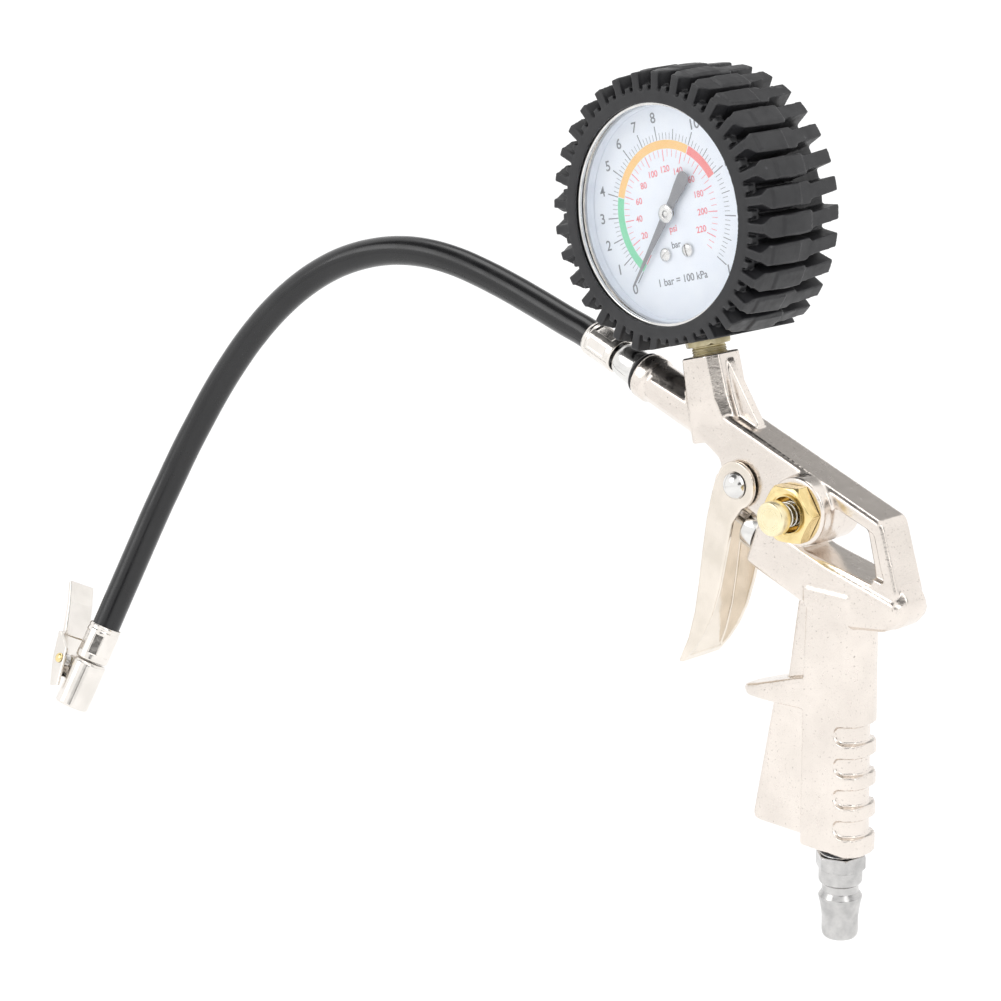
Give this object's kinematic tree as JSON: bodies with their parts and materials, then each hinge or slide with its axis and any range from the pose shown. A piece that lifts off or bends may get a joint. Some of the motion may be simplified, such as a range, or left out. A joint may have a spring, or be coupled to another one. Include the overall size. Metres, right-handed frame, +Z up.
{
  "type": "tyre inflator gun with dial gauge",
  "caption": "Hand-held air gun for tyres: trigger valve, bleed button, dial pressure gauge in a tread-patterned rubber boot, short hose and clip-on chuck.",
  "frame": {"origin": "middle of the hand grip, on the gun's middle plane", "axes": "+Z up along the gauge stem, +X towards the back of the grip, -Y out of the dial's face"},
  "size_m": [0.2919, 0.1121, 0.2498],
  "materials": {
    "cast_nickel": "satin nickel plate over fine cast grain",
    "nickel_plate": "bright nickel plate",
    "bright_steel": "turned and plated",
    "yellow_brass": "turned, slightly dulled",
    "black_rubber": "moulded, semi-gloss",
    "clear_lens": "clear and polished",
    "white_dial": "printed white enamel",
    "grey_pointer": "satin dark grey"
  },
  "bodies": {
    "gun": {"bleed_nut": "yellow_brass", "bleed_spring": "bright_steel", "boot": "black_rubber", "bourdon_tube": "yellow_brass", "chuck_body": "nickel_plate", "chuck_core_pin": "yellow_brass", "chuck_ferrule": "nickel_plate", "chuck_lever_spring": "bright_steel", "chuck_pin": "bright_steel", "chuck_seal": "black_rubber", "dial_plate": "white_dial", "dial_screw_left": "bright_steel", "dial_screw_right": "bright_steel", "fitting_washer": "black_rubber", "gauge_bezel": "nickel_plate", "gauge_case": "bright_steel", "gauge_lens": "clear_lens", "gauge_stem": "yellow_brass", "gland_seal": "black_rubber", "gun_body": "cast_nickel", "gun_ferrule": "nickel_plate", "hose": "black_rubber", "hose_fitting": "nickel_plate", "inlet_plug": "bright_steel", "movement_frame": "yellow_brass", "movement_link": "bright_steel", "plug_washer": "black_rubber", "trigger_rivet": "bright_steel", "valve_gland": "bright_steel", "valve_seat": "bright_steel", "valve_spring": "bright_steel"},
    "trigger": {"trigger": "nickel_plate"},
    "valve": {"valve_stem": "yellow_brass", "valve_poppet": "bright_steel", "poppet_seal": "black_rubber"},
    "bleed": {"bleed_button": "yellow_brass", "bleed_seal": "black_rubber"},
    "pointer": {"pointer": "grey_pointer", "pointer_cap": "nickel_plate", "pointer_arbor": "bright_steel"},
    "sector": {"sector_gear": "yellow_brass"},
    "chuck_lever": {"chuck_lever": "nickel_plate"}
  },
  "joints": [
    {"name": "trigger_pull", "type": "hinge", "parent": "gun", "child": "trigger", "pos_m": [-0.0125, 0, 0.0726], "axis": [0, -1, 0], "range_deg": [0, 14], "stiffness_Nm_per_rad": 0.5},
    {"name": "valve_push", "type": "slide", "parent": "gun", "child": "valve", "axis": [0.8151, 0, -0.5793], "range_m": [0, 0.0032], "deforming": ["valve_spring"]},
    {"name": "bleed_press", "type": "slide", "parent": "gun", "child": "bleed", "axis": [0, 1, 0], "range_m": [0, 0.003], "stiffness_N_per_m": 500, "deforming": ["bleed_spring"]},
    {"name": "pointer_turn", "type": "hinge", "parent": "gun", "child": "pointer", "pos_m": [-0.02, 0, 0.15], "axis": [0, 1, 0], "range_deg": [0, 270], "stiffness_Nm_per_rad": 0.0005},
    {"name": "sector_turn", "type": "hinge", "parent": "gun", "child": "sector", "pos_m": [-0.02, 0, 0.13615], "axis": [0, 1, 0], "range_deg": [-36.5, 0]},
    {"name": "chuck_lever_press", "type": "hinge", "parent": "gun", "child": "chuck_lever", "pos_m": [-0.24936, -0.08206, 0.04724], "axis": [-0.2032, 0.8824, -0.4243], "range_deg": [0, 12], "stiffness_Nm_per_rad": 0.15, "deforming": ["chuck_lever_spring"]}
  ],
  "couplings": [
    {"joint": "valve_push", "follows": "trigger_pull", "m_per_rad": 0.0123},
    {"joint": "sector_turn", "follows": "pointer_turn", "ratio": -0.13333}
  ]
}
